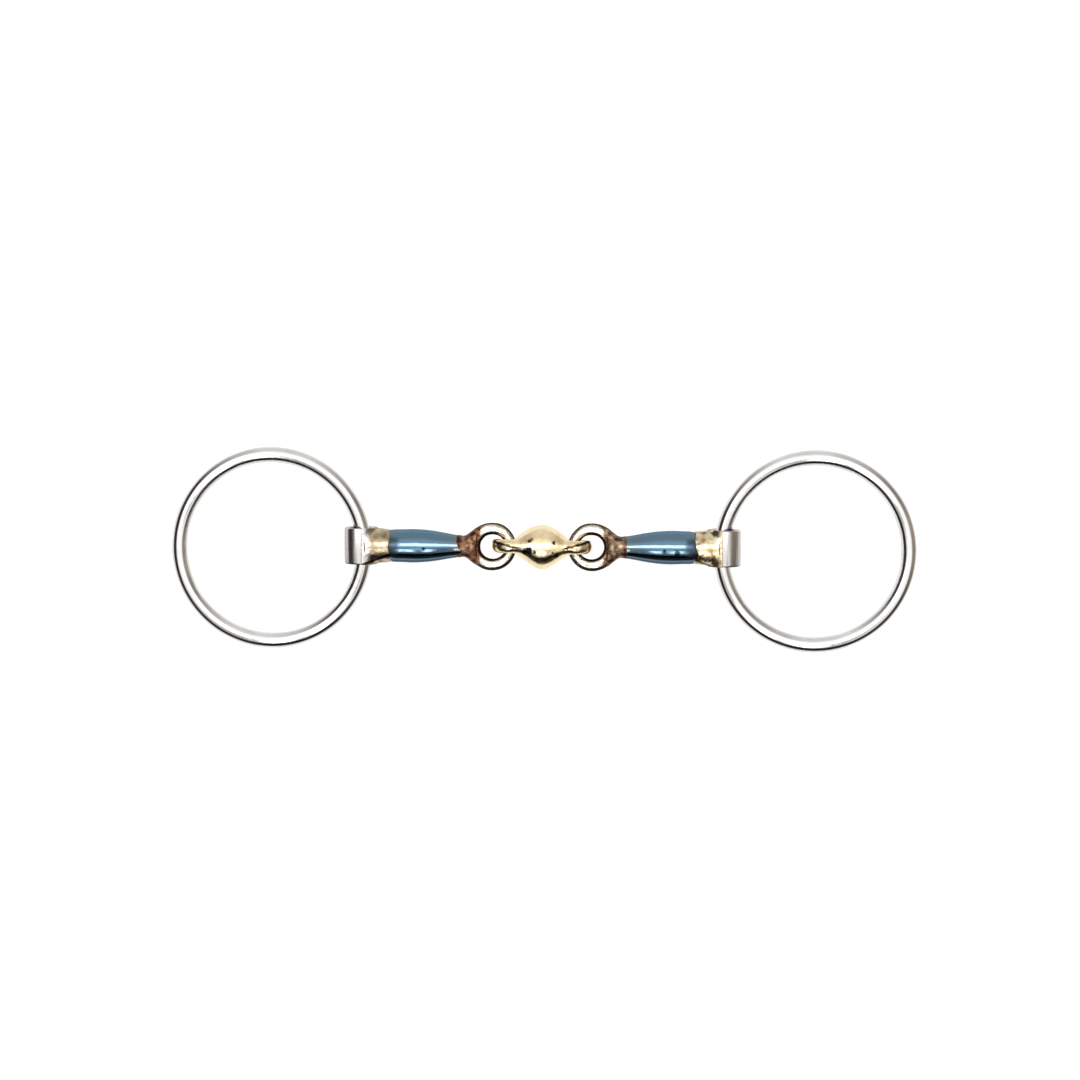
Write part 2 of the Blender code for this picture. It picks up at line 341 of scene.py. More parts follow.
def along_curve(stations, x):
    """Smooth values at x through rising stations (x, value, ...), flat past the ends."""
    table = np.array(sorted(stations))
    places = table[:, 0]
    slopes = np.gradient(table[:, 1:], places, axis=0)
    where = np.clip(x, places[0], places[-1])
    index = np.clip(np.searchsorted(places, where, side="right") - 1, 0, len(places) - 2)
    width = (places[index + 1] - places[index])[:, None]
    t = ((where - places[index]) / width[:, 0])[:, None]
    low, high = table[index, 1:], table[index + 1, 1:]
    rise, fall = slopes[index] * width, slopes[index + 1] * width
    return (
        (2 * t**3 - 3 * t**2 + 1) * low
        + (t**3 - 2 * t**2 + t) * rise
        + (3 * t**2 - 2 * t**3) * high
        + (t**3 - t**2) * fall
    )


# ---------------------------------------------------------------- shapes as distances

def smooth_union(a, b, blend):
    overlap = np.maximum(blend - np.abs(a - b), 0.0) / blend
    return np.minimum(a, b) - overlap * overlap * blend / 4.0


def smooth_cut(a, tool, blend):
    return -smooth_union(-a, tool, blend)


def oval_distance(a, b, half_a, half_b):
    """Distance to an ellipse of the given half sizes, nearly even on all sides."""
    near = np.hypot(a / half_a, b / half_b)
    steep = np.hypot(a / half_a**2, b / half_b**2)
    return near * (near - 1.0) / np.maximum(steep, 1e-9)


def rippled(shape, points, ripples, seeds):
    """Distances with noise added, so that the surface is uneven."""
    for (height, width), seed in zip(ripples, seeds):
        shape = shape + height * lattice_noise(points, width, seed)
    return shape


def torus_distance(points, radius, half_radial, half_axial):
    """Distance to a ring round Z whose section is an ellipse."""
    out = np.hypot(points[:, 0], points[:, 1]) - radius
    return oval_distance(out, points[:, 2], half_radial, half_axial)


def surface_net(name, distance, low, high, cell):
    """Mesh where distance is zero, with its points moved exactly onto the surface."""
    axes = [np.arange(low[k], high[k] + cell, cell) for k in range(3)]
    shape = tuple(len(axis) for axis in axes)
    grid = np.stack(np.meshgrid(*axes, indexing="ij"), axis=-1).reshape(-1, 3)
    value = distance(grid).reshape(shape)
    inside = value < 0.0
    cells = tuple(n - 1 for n in shape)
    total = np.zeros(cells)
    spot = np.zeros(cells + (3,))
    corners = [(i, j, k) for i in (0, 1) for j in (0, 1) for k in (0, 1)]

    def corner_view(field, corner):
        return field[tuple(slice(c, c + n) for c, n in zip(corner, cells))]

    # A cell's point is the middle of the places where the surface cuts its edges
    for first in corners:
        for axis in range(3):
            if first[axis]:
                continue
            second = tuple(c + (k == axis) for k, c in enumerate(first))
            a, b = corner_view(value, first), corner_view(value, second)
            crossing = (a < 0.0) != (b < 0.0)
            part = np.where(crossing, a / np.where(crossing, a - b, 1.0), 0.0)
            for k in range(3):
                offset = first[k] + (part if k == axis else 0.0)
                spot[..., k] += np.where(crossing, offset, 0.0)
            total += crossing
    active = total > 0
    number = np.full(cells, -1)
    number[active] = np.arange(active.sum())
    where = np.argwhere(active)
    points = (where + spot[active] / total[active][:, None]) * cell + np.array(low)
    # One face for each grid edge that the surface cuts, looking outwards
    faces = []
    for axis in range(3):
        u, v = (axis + 1) % 3, (axis + 2) % 3
        along = [slice(None)] * 3
        ahead = [slice(None)] * 3
        along[axis], ahead[axis] = slice(0, -1), slice(1, None)
        starts = np.argwhere(inside[tuple(along)] != inside[tuple(ahead)])
        starts = starts[(starts[:, u] > 0) & (starts[:, v] > 0)]
        starts = starts[(starts[:, u] < cells[u]) & (starts[:, v] < cells[v])]
        unit_u, unit_v = np.eye(3, dtype=int)[u], np.eye(3, dtype=int)[v]
        around = [starts - unit_u - unit_v, starts - unit_v, starts, starts - unit_u]
        quad = np.stack([number[tuple(c.T)] for c in around], axis=1)
        outward = inside[tuple(starts.T)]
        quad[~outward] = quad[~outward][:, ::-1]
        faces.append(quad)
    faces = np.concatenate(faces)
    faces = faces[(faces >= 0).all(axis=1)]
    # Points slide along the slope until they lie on the surface
    step = cell * 0.1
    for _ in range(4):
        slope = np.stack(
            [
                (distance(points + step * unit) - distance(points - step * unit)) / (2 * step)
                for unit in np.eye(3)
            ],
            axis=1,
        )
        size = np.maximum((slope * slope).sum(axis=1), 1e-3)
        move = distance(points)[:, None] * slope / size[:, None]
        points = points - np.clip(move, -cell / 2, cell / 2)
    mesh = bpy.data.meshes.new(name)
    mesh.from_pydata(points.tolist(), [], faces.tolist())
    mesh.update()
    return mesh


# ---------------------------------------------------------------- pieces

def add_piece(name, mesh, place, body, node, material):
    """Finish a piece: smooth shading, its metal, and the body it is attached to; the frame's node
    it stands for is hidden.
    """
    mesh.shade_smooth()
    mesh.materials.append(material)
    piece = bpy.data.objects.new(name, mesh)
    piece.matrix_world = place
    bpy.context.scene.collection.objects.link(piece)
    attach(piece, body)
    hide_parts(node)


def swept_grid(name, point_at, around, across):
    """A closed mesh from point_at(u, v), where u and v both run round a full turn."""
    u = np.repeat(np.arange(around) / around * math.tau, across)
    v = np.tile(np.arange(across) / across * math.tau, around)
    points = point_at(u, v)
    faces = []
    for i in range(around):
        for j in range(across):
            a, b = i * across, (i + 1) % around * across
            k = (j + 1) % across
            faces.append((a + j, b + j, b + k, a + k))
    mesh = bpy.data.meshes.new(name)
    mesh.from_pydata(points.tolist(), [], faces)
    mesh.update()
    return mesh


def wire_ring(name, radius, half_wire, wobble, seed, around, across, extra=0.0):
    """A ring of wire in the XY plane, a little uneven, with extra metal inside except at -X."""

    def point_at(u, v):
        centre = np.stack([np.cos(u), np.sin(u), np.zeros_like(u)], axis=1)
        worn = np.clip((np.cos(u) + 0.9) / 0.9, 0.0, 1.0)
        inward = np.clip(-np.cos(v), 0.0, 1.0)
        size = half_wire + wobble * lattice_noise(centre, 0.35, seed) + extra * worn * inward
        out = radius + wobble * lattice_noise(centre * 1.7, 0.8, seed + 1)
        across_out = out + size * np.cos(v)
        return np.stack(
            [across_out * np.cos(u), across_out * np.sin(u), size * np.sin(v)], axis=1
        )

    return swept_grid(name, point_at, around, across)


def turned_shape(outline, axis, around, wobble=0.0, seed=0):
    """Points and faces of an outline of (along, radius) points turned round X or Y."""
    angles = np.arange(around) / around * math.tau
    points = []
    for along, radius in outline:
        for angle in angles:
            a, b = radius * math.cos(angle), radius * math.sin(angle)
            points.append((along, a, b) if axis == "X" else (b, along, a))
    points = np.array(points)
    if wobble:
        swell = 1.0 + wobble * lattice_noise(points, 0.006, seed)[:, None]
        swell = swell * (1.0 + 0.4 * wobble * lattice_noise(points, 0.0022, seed + 3)[:, None])
        keep = np.array([axis != "X", axis != "Y", True])
        points = np.where(keep, points * swell, points)
    faces = []
    for ring in range(len(outline) - 1):
        for k in range(around):
            a, b = ring * around, (ring + 1) * around
            n = (k + 1) % around
            faces.append((a + k, a + n, b + n, b + k))
    return points, faces


def closed_mesh(name, points, faces):
    """A mesh whose points in one place are joined and whose faces all look outwards."""
    mesh = bpy.data.meshes.new(name)
    mesh.from_pydata(np.asarray(points).tolist(), [], faces)
    mesh.update()
    builder = bmesh.new()
    builder.from_mesh(mesh)
    bmesh.ops.remove_doubles(builder, verts=builder.verts, dist=1e-7)
    bmesh.ops.recalc_face_normals(builder, faces=builder.faces)
    builder.to_mesh(mesh)
    builder.free()
    return mesh


def flank_size(x, ball, link_x):
    """Half width and half height of the lozenge's body at a distance from its middle."""
    far = np.abs(x)
    rise = (0.5 * (1.0 + np.cos(np.pi * np.minimum(far / FLANK_REACH, 1.0)))) ** FLANK_POWER
    narrowed = np.clip((far - FLANK_TAPER_FROM) / (FLANK_END - FLANK_TAPER_FROM), 0.0, 1.0)
    width = FLANK_NECK / 2 + (ball - FLANK_NECK) / 2 * rise
    top = 0.5 * (1.0 + np.cos(np.pi * np.minimum(far / link_x, 1.0)))
    height = FLANK_TOP / 2 + (ball - FLANK_TOP) / 2 * top
    return width * (1.0 - FLANK_TAPER * narrowed**2), height


def build_lozenge(material):
    """The cast brass link: ball and flanks run smoothly into the two upright eyes.

    The hand-finished casting is not quite straight: the upper half of both flanks sits a little
    towards +Y, and the lower half stays clear of the folding eye loops.
    """
    low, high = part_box("lozenge")
    length = high.x - low.x
    ball = high.z - low.z
    link_radius = (LINK_HOLE + LINK_WALL) / 2
    link_x = (length - LINK_WALL) / 2 - link_radius

    def distance(points):
        x, y, z = points.T
        upper = np.clip((z - BEND_FROM) / BEND_RISE, 0.0, 1.0)
        bent = upper * (1.0 - np.exp(-((x / BEND_REACH) ** 2)))
        y = y - bent * np.where(x < 0.0, BEND_LEFT, BEND_RIGHT)
        half_width, half_height = flank_size(x, ball, link_x)
        body = oval_distance(y, z, half_width, half_height)
        shape = smooth_cut(body, FLANK_END - np.abs(x), LINK_BLEND)
        # The two upright eyes, then a flared hole through each
        for side in (-1, 1):
            centred = np.stack([x - side * link_x, z, y], axis=1)
            ring = torus_distance(centred, link_radius, LINK_WALL / 2, LINK_THICK / 2)
            shape = smooth_union(shape, ring, LINK_BLEND)
        flare = np.minimum(LINK_FLARE * (y / (LINK_THICK / 2)) ** 2, 4 * LINK_FLARE)
        for side in (-1, 1):
            hole = np.hypot(x - side * link_x, z) - LINK_HOLE / 2 - flare
            shape = smooth_cut(shape, hole, LINK_HOLE_EDGE)
        seeds = (SEEDS["casting"], SEEDS["casting_fine"])
        return rippled(shape, points, CASTING_RIPPLES, seeds)

    half = Vector((length / 2 + MM, (high.y - low.y) / 2 + MM, (high.z - low.z) / 2 + MM))
    mesh = surface_net("lozenge_cast", distance, -half, half, CASTING_CELL)
    place = Matrix.Translation((low + high) / 2)
    add_piece("lozenge_cast", mesh, place, "lozenge", "lozenge", material)


def build_ring(name, material):
    low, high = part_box(f"{name}_ring")
    radius = (high.y - low.y - RING_WIRE) / 2
    mesh = wire_ring(
        f"{name}_ring_wire", radius, RING_WIRE / 2, RING_WOBBLE, SEEDS["ring"], *RING_STEPS
    )
    add_piece(
        f"{name}_ring_wire", mesh, joint_frame(name, "ring_slide"),
        f"{name}_ring", f"{name}_ring", material,
    )


def build_eye(name, material):
    seed = SEEDS[f"{name}_eye"]
    mesh = wire_ring(
        f"{name}_eye_loop", eye_size(name), EYE_WIRE / 2, EYE_WOBBLE, seed, *EYE_STEPS, EYE_EXTRA
    )
    add_piece(
        f"{name}_eye_loop", mesh, cannon_frame(name),
        f"{name}_eye", f"{name}_eye", material,
    )


def eye_size(name):
    """Radius of the middle line of the eye loop's wire."""
    low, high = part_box(f"{name}_eye")
    return (high.y - low.y - EYE_WIRE) / 2


def cannon_frame(name):
    """The cannon's own frame: +X outwards along it, from the middle of the eye loop."""
    return joint_frame(name, "turn")


def cannon_offset(name):
    """Distance from the middle of the bit to the middle of the eye loop."""
    return abs(joint_place(f"{name}_turn").x)


def sleeve_offset(name):
    """Distance from the middle of the eye loop to the sleeve's axis, along the cannon."""
    return (joint_place(f"{name}_ring_swing") - joint_place(f"{name}_turn")).length


def build_barrel(name, material):
    offset = cannon_offset(name)
    start, end = BARREL_SHAPE[0][0], BARREL_SHAPE[-1][0]
    steps, around = BAR_STEPS
    stations = np.linspace(start, end, steps)
    radii = along_curve(BARREL_SHAPE, stations)[:, 0] / 2
    outline = [(start - offset, 0.0)]
    outline += [(x - offset, r) for x, r in zip(stations, radii)]
    outline += [(end - offset, 0.0)]
    points, faces = turned_shape(outline, "X", around, BAR_WOBBLE, SEEDS[f"{name}_bar"])
    mesh = closed_mesh(f"{name}_cannon_bar", points, faces)
    add_piece(
        f"{name}_cannon_bar", mesh, cannon_frame(name),
        f"{name}_cannon", f"{name}_barrel", material,
    )


def build_web(name, eye_radius, material):
    """Brown braze from the thin end of the bar, flaring round the outer side of the eye."""
    offset = cannon_offset(name)
    seed = SEEDS[f"{name}_web"]

    def distance(points):
        x = points[:, 0] + offset
        # Neck: oval sections from the thin end of the bar
        half = along_curve(WEB_SHAPE, x)
        neck = oval_distance(points[:, 1], points[:, 2], half[:, 0], half[:, 1])
        neck = np.maximum(neck, x - WEB_END)
        neck = np.maximum(neck, WEB_START - x)
        # Seat: a skin round the outer half of the loop, thinner away from the bar
        angle = np.abs(np.arctan2(points[:, 1], points[:, 0]))
        fade = WEB_FADE * np.clip(angle / WEB_FADE_ANGLE, 0, 1.6) ** 2
        wrap = EYE_WIRE / 2 + WEB_SKIN - fade
        out = np.hypot(points[:, 0], points[:, 1]) - eye_radius - WEB_HUG
        seat = np.hypot(out, points[:, 2]) - np.maximum(wrap, WEB_LEAST)
        seat = np.maximum(seat, -points[:, 0])
        shape = smooth_union(neck, seat, WEB_BLEND)
        return rippled(shape, points, WEB_RIPPLES, (seed, seed + 5))

    half_y, half_z = WEB_ROOM
    low = (-0.4 * MM, -half_y, -half_z)
    high = (WEB_END + 0.5 * MM - offset, half_y, half_z)
    mesh = surface_net(f"{name}_web", distance, low, high, BRAZE_CELL)
    add_piece(
        f"{name}_web", mesh, cannon_frame(name),
        f"{name}_cannon", f"{name}_eye_braze", material,
    )


def build_saddle(name, material):
    """Golden braze that runs from the bar's fat end over the inner half of the sleeve."""
    offset = cannon_offset(name)
    reach = sleeve_offset(name)
    low_box, high_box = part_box(f"{name}_sleeve")
    sleeve_radius = (high_box.x - low_box.x) / 2
    seed = SEEDS[f"{name}_saddle"]

    def distance(points):
        x = points[:, 0] + offset
        half = along_curve(SADDLE_SHAPE, x)
        # Body: oval sections, with a ragged edge on the bar that bulges in the middle
        body = oval_distance(points[:, 1], points[:, 2], half[:, 0], half[:, 1])
        body = np.maximum(body, x - SADDLE_END)
        off_middle = np.minimum(np.abs(points[:, 1]) / SADDLE_HALF_WIDTH, 1.0)
        edge = SADDLE_START + SADDLE_BULGE[name] * (1.0 - off_middle**2)
        ragged = lattice_noise(points, SADDLE_EDGE_WIDTH, seed + 2)
        edge = edge + SADDLE_EDGE_RAGGED * ragged
        body = np.maximum(body, (edge - x) * SADDLE_EDGE_STEEP)
        # Skin over the inner side of the sleeve, cut off at a ragged lip
        tube = np.hypot(points[:, 0] - reach, points[:, 2]) - sleeve_radius - SADDLE_SKIN
        tube = np.maximum(tube, np.abs(points[:, 1]) - SADDLE_HALF_LENGTH)
        shape = smooth_union(body, tube, SADDLE_BLEND)
        rough = lattice_noise(points, SADDLE_RIPPLES[0][1], seed)
        lip = reach - SADDLE_LIP + SADDLE_LIP_RAGGED * rough
        shape = smooth_cut(shape, lip - points[:, 0], SADDLE_LIP_BLEND)
        shape = rippled(shape, points, SADDLE_RIPPLES, (seed, seed + 1))
        if name == "right":
            away = points - (np.array([reach, 0.0, 0.0]) + PIT_PLACE)
            away = np.sqrt((away * away).sum(axis=1))
            shape = shape - PIT_LIP[0] * np.exp(-(((away - PIT_LIP_RADIUS) / PIT_LIP[1]) ** 2))
            shape = shape + PIT_HOLE[0] * np.exp(-((away / PIT_HOLE[1]) ** 2))
        # Hollow where the sleeve is, to a little below the sleeve's surface
        bore = np.hypot(points[:, 0] - reach, points[:, 2]) - sleeve_radius + SADDLE_BORE_IN
        return np.maximum(shape, -bore)

    half_y, half_z = SADDLE_ROOM
    low = (SADDLE_START - SADDLE_EDGE_RAGGED - offset, -half_y, -half_z)
    high = (reach, half_y, half_z)
    mesh = surface_net(f"{name}_saddle", distance, low, high, BRAZE_CELL)
    add_piece(
        f"{name}_saddle", mesh, cannon_frame(name),
        f"{name}_cannon", f"{name}_sleeve_braze", material,
    )


def build_sleeve(name, material):
    """The ring's sleeve: a short tube with rounded lips at both mouths."""
    low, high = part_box(f"{name}_sleeve")
    half = (high.y - low.y) / 2
    outer = (high.x - low.x) / 2
    bore = SLEEVE_BORE / 2
    outline = []
    corners = (
        (-half + SLEEVE_EDGE, bore + SLEEVE_EDGE, math.pi),
        (-half + SLEEVE_EDGE, outer - SLEEVE_EDGE, math.pi / 2),
        (half - SLEEVE_EDGE, outer - SLEEVE_EDGE, 0.0),
        (half - SLEEVE_EDGE, bore + SLEEVE_EDGE, -math.pi / 2),
    )
    for along, radius, start in corners:
        for step in range(SLEEVE_EDGE_STEPS + 1):
            angle = start + math.pi / 2 * (1 - step / SLEEVE_EDGE_STEPS)
            outline.append(
                (along + SLEEVE_EDGE * math.cos(angle), radius + SLEEVE_EDGE * math.sin(angle))
            )
    outline.append(outline[0])
    points, faces = turned_shape(outline, "Y", SLEEVE_STEPS)
    mesh = closed_mesh(f"{name}_ring_sleeve", points, faces)
    place = Matrix.Translation((low + high) / 2)
    add_piece(
        f"{name}_ring_sleeve", mesh, place,
        f"{name}_sleeve", f"{name}_sleeve", material,
    )


# ---------------------------------------------------------------- shader nodes

class Nodes:
    """Short calls for the shader nodes that the metals and the studio are made of."""

    def __init__(self, tree):
        self.tree = tree

    def node(self, kind, **settings):
        made = self.tree.nodes.new(kind)
        for key, value in settings.items():
            setattr(made, key, value)
        return made

    def link(self, source, target):
        self.tree.links.new(source, target)

    def feed(self, socket, value):
        """Give a socket a number, a colour or another node's output."""
        if isinstance(value, (int, float)):
            socket.default_value = value
        elif isinstance(value, tuple):
            socket.default_value = (*value, 1.0)
        else:
            self.link(value, socket)

    def math(self, operation, *values, clamp=False):
        made = self.node("ShaderNodeMath", operation=operation, use_clamp=clamp)
        for socket, value in zip(made.inputs, values):
            self.feed(socket, value)
        return made.outputs["Value"]

    def spread(self, source, low, high, out_low=0.0, out_high=1.0, curve="LINEAR"):
        """From out_low to out_high while the source goes from low to high, and flat beyond."""
        made = self.node("ShaderNodeMapRange", interpolation_type=curve)
        values = (low, high, out_low, out_high)
        for key, value in zip(("From Min", "From Max", "To Min", "To Max"), values):
            made.inputs[key].default_value = value
        self.link(source, made.inputs["Value"])
        return made.outputs["Result"]

    def ramp(self, source, stops):
        """Colours by value: stops are (position, (r, g, b))."""
        made = self.node("ShaderNodeValToRGB")
        band = made.color_ramp
        while len(band.elements) < len(stops):
            band.elements.new(0.5)
        for element, (position, colour) in zip(band.elements, stops):
            element.position = position
            element.color = (*colour, 1.0)
        self.link(source, made.inputs["Fac"])
        return made.outputs["Color"]

    def mix(self, factor, a, b):
        """Colour a where the factor is 0 and b where it is 1."""
        made = self.node("ShaderNodeMix", data_type="RGBA")
        self.link(factor, made.inputs["Factor"])
        self.feed(made.inputs[6], a)
        self.feed(made.inputs[7], b)
        return made.outputs[2]


class Metal(Nodes):
    """One metal: a Principled shader fed from the piece's own coordinates."""

    def __init__(self, name, roughness, coat=0.0, edge_tint=None):
        self.material = bpy.data.materials.new(name)
        self.material.use_nodes = True
        super().__init__(self.material.node_tree)
        self.shader = self.tree.nodes["Principled BSDF"]
        self.shader.inputs["Metallic"].default_value = 1.0
        self.shader.inputs["Roughness"].default_value = roughness
        self.shader.inputs["Coat Weight"].default_value = coat
        self.shader.inputs["Coat Roughness"].default_value = 0.03
        if edge_tint:
            self.shader.inputs["Specular Tint"].default_value = (*edge_tint, 1.0)
        self.place = self.node("ShaderNodeTexCoord").outputs["Object"]

    def coordinate(self, axis):
        split = self.node("ShaderNodeSeparateXYZ")
        self.link(self.place, split.inputs["Vector"])
        return split.outputs[axis]

    def away_from(self, x, y):
        """Distance from the line along Z through x and y."""
        across = self.math("SUBTRACT", self.coordinate("X"), x)
        along = self.math("SUBTRACT", self.coordinate("Y"), y)
        squares = [self.math("MULTIPLY", side, side) for side in (across, along)]
        return self.math("SQRT", self.math("ADD", *squares))

    def noise(self, scale, detail=3.0, stretch=(1, 1, 1), distortion=0.0):
        mapping = self.node("ShaderNodeMapping")
        mapping.inputs["Scale"].default_value = stretch
        self.link(self.place, mapping.inputs["Vector"])
        made = self.node("ShaderNodeTexNoise")
        made.inputs["Scale"].default_value = scale
        made.inputs["Detail"].default_value = detail
        made.inputs["Distortion"].default_value = distortion
        self.link(mapping.outputs["Vector"], made.inputs["Vector"])
        return made.outputs["Fac"]

    def wander(self, scale, detail, reach):
        """Noise that shifts an edge by up to the reach each way."""
        return self.spread(self.noise(scale, detail), 0.0, 1.0, -reach, reach)

    def paint(self, colour, roughness):
        self.link(colour, self.shader.inputs["Base Color"])
        self.link(roughness, self.shader.inputs["Roughness"])

    def bump(self, height, distance):
        """Add relief of the given depth to any that is there."""
        made = self.node("ShaderNodeBump")
        made.inputs["Strength"].default_value = 1.0
        made.inputs["Distance"].default_value = distance
        self.link(height, made.inputs["Height"])
        normal = self.shader.inputs["Normal"]
        if normal.links:
            self.link(normal.links[0].from_socket, made.inputs["Normal"])
        self.link(made.outputs["Normal"], normal)


# ---------------------------------------------------------------- metals

def ring_steel():
    """Polished steel wire with faint clouds, fine scratches and soft handling marks."""
    metal = Metal("ring_steel", 0.08)
    cloud = metal.noise(90, 4)
    metal.paint(
        metal.ramp(cloud, [(0.3, (0.66, 0.645, 0.63)), (0.7, (0.80, 0.785, 0.77))]),
        metal.spread(metal.noise(420, 5), 0.3, 0.75, 0.06, 0.18),
    )
    metal.bump(metal.noise(260, 3), 0.02 * MM)
    metal.bump(metal.noise(1500, 3), 0.004 * MM)
    return metal.material


def sleeve_steel(half_length):
    """Worn steel tube with fine draw marks along its length, and painted shade on its lip towards
    -Y.
    """
    metal = Metal("sleeve_steel", 0.14)
    streak = metal.noise(900, 3, stretch=(1.0, 0.06, 1.0))
    colour = metal.ramp(streak, [(0.35, (0.42, 0.39, 0.37)), (0.62, (0.58, 0.55, 0.53))])
    # Painted shade: the rounded lip at the -Y mouth is darkened nearly to black
    lip = metal.spread(
        metal.coordinate("Y"), -half_length + 0.30 * MM, -half_length + 0.55 * MM, 0.9, 0.0
    )
    metal.paint(
        metal.mix(lip, colour, (0.05, 0.045, 0.042)),
        metal.spread(streak, 0.3, 0.7, 0.30, 0.18),
    )
    metal.bump(streak, 0.012 * MM)
    return metal.material


def blued_steel(name, offset):
    """Heat-blued bar: straw and brown at the brazes, a scorch with painted shade, painted shade
    low at -Y and small painted dark reflections.
    """
    metal = Metal(f"{name}_blued_steel", 0.10, coat=0.3, edge_tint=(0.38, 0.46, 0.52))
    x, y, z = (metal.coordinate(axis) for axis in "XYZ")
    place = metal.math("ADD", x, metal.wander(260, 4, 1.8 * MM))
    along = metal.spread(place, 0.0265 - offset, 0.0545 - offset)
    tint = metal.ramp(along, BLUING)
    cloud = metal.noise(160, 5, stretch=(0.5, 1, 1))
    shade = metal.mix(metal.spread(cloud, 0.35, 0.7, 0.0, 0.5), tint, (0.14, 0.225, 0.29))
    upper = metal.spread(z, 0.0, 1.0 * MM)

    # A heat scorch near the fat end, darkened on top as painted shade where the overhead highlight
    # fades out
    near_braze = metal.spread(place, 0.0492 - offset, 0.0508 - offset)
    middle = metal.spread(metal.math("ABSOLUTE", y), 2.4 * MM, 3.8 * MM, 1.0, 0.0)
    scorch_and_shade = metal.math("MULTIPLY", metal.math("MULTIPLY", near_braze, middle), upper)
    shade = metal.mix(scorch_and_shade, shade, (0.035, 0.065, 0.095))

    # Painted shade: the lower side of the bar facing -Y, about 58 to 115 degrees down from its
    # top, is darkened
    lean = metal.math("ARCTAN2", metal.math("MULTIPLY", y, side_sign(name)), z)
    front = metal.spread(lean, math.radians(-58), math.radians(-50), 1.0, 0.0)
    under = metal.spread(lean, math.radians(-150), math.radians(-115))
    shade = metal.mix(metal.math("MULTIPLY", front, under), shade, (0.045, 0.070, 0.090))

    # Painted dark reflections: small near-black spots on the bar's top
    for distance, rise, radius in BAR_DARK_REFLECTIONS[name]:
        away = metal.away_from(distance - offset, rise * side_sign(name))
        reflected_spot = metal.spread(away, radius - 0.2 * MM, radius + 0.2 * MM, 1.0, 0.0)
        shade = metal.mix(metal.math("MULTIPLY", reflected_spot, upper), shade, (0.006, 0.014, 0.022))
    polish = metal.spread(metal.noise(500, 4), 0.3, 0.75, 0.07, 0.19)
    metal.paint(shade, metal.math("ADD", polish, metal.math("MULTIPLY", scorch_and_shade, 0.25)))
    metal.bump(metal.noise(700, 4, stretch=(0.4, 1, 1)), 0.008 * MM)
    return metal.material


def heat_tinted_braze(name):
    """Oxidised braze: rough brown patches with paler coppery specks."""
    metal = Metal(f"{name}_braze_brown", 0.5)
    patch = metal.noise(560, 5, stretch=(0.85, 1.0, 1.0))
    colour = metal.ramp(patch, list(zip((0.34, 0.44, 0.52, 0.60, 0.70), BROWN_SHADES[name])))
    metal.paint(colour, metal.spread(patch, 0.3, 0.7, 0.62, 0.42))
    metal.bump(metal.noise(1100, 3), 0.02 * MM)
    metal.bump(patch, 0.05 * MM)
    return metal.material


def golden_braze(name, offset, reach):
    """Golden braze: pale where it is worn, burnt brown by the bar, with one dark seam."""
    metal = Metal(f"{name}_braze_gold", 0.25)
    cloud = metal.noise(330, 5, distortion=0.5)
    gold = metal.ramp(cloud, list(zip((0.28, 0.39, 0.50, 0.66), GOLD_SHADES[name])))
    x = metal.coordinate("X")
    wander = metal.wander(280, 3, 1.6 * MM)
    place = metal.math("ADD", x, wander)
    pale_from = reach - PALE_BRAZE[name]
    pale = metal.spread(place, pale_from - 0.9 * MM, pale_from + 0.9 * MM)
    colour = metal.mix(pale, gold, (0.66, 0.63, 0.61))

    near_bar = metal.spread(place, 0.0530 - offset, 0.0562 - offset, 1.0, 0.0)
    speck = metal.spread(metal.noise(520, 4), 0.46, 0.60, 0.0, BURN[name])
    colour = metal.mix(metal.math("MULTIPLY", near_bar, speck), colour, (0.14, 0.075, 0.04))

    start, rise, slope, half_width = BRAZE_SEAM[name]
    front = metal.math("MULTIPLY", metal.coordinate("Y"), -side_sign(name))
    line = metal.math("MULTIPLY", metal.math("SUBTRACT", x, start - offset), slope)
    line = metal.math("ADD", metal.math("ADD", line, rise), metal.math("MULTIPLY", wander, 0.15))
    off_seam = metal.math("ABSOLUTE", metal.math("SUBTRACT", front, line))
    dark = metal.spread(off_seam, half_width - 0.2 * MM, half_width + 0.2 * MM, 1.0, 0.0)
    dark = metal.math("MULTIPLY", dark, metal.spread(metal.coordinate("Z"), -0.5 * MM, 0.0))
    colour = metal.mix(dark, colour, (0.030, 0.018, 0.011))
    metal.paint(colour, metal.spread(cloud, 0.3, 0.7, 0.36, 0.15))
    metal.bump(metal.noise(700, 4), 0.03 * MM)
    metal.bump(metal.noise(330, 4, distortion=0.5), 0.06 * MM)
    return metal.material


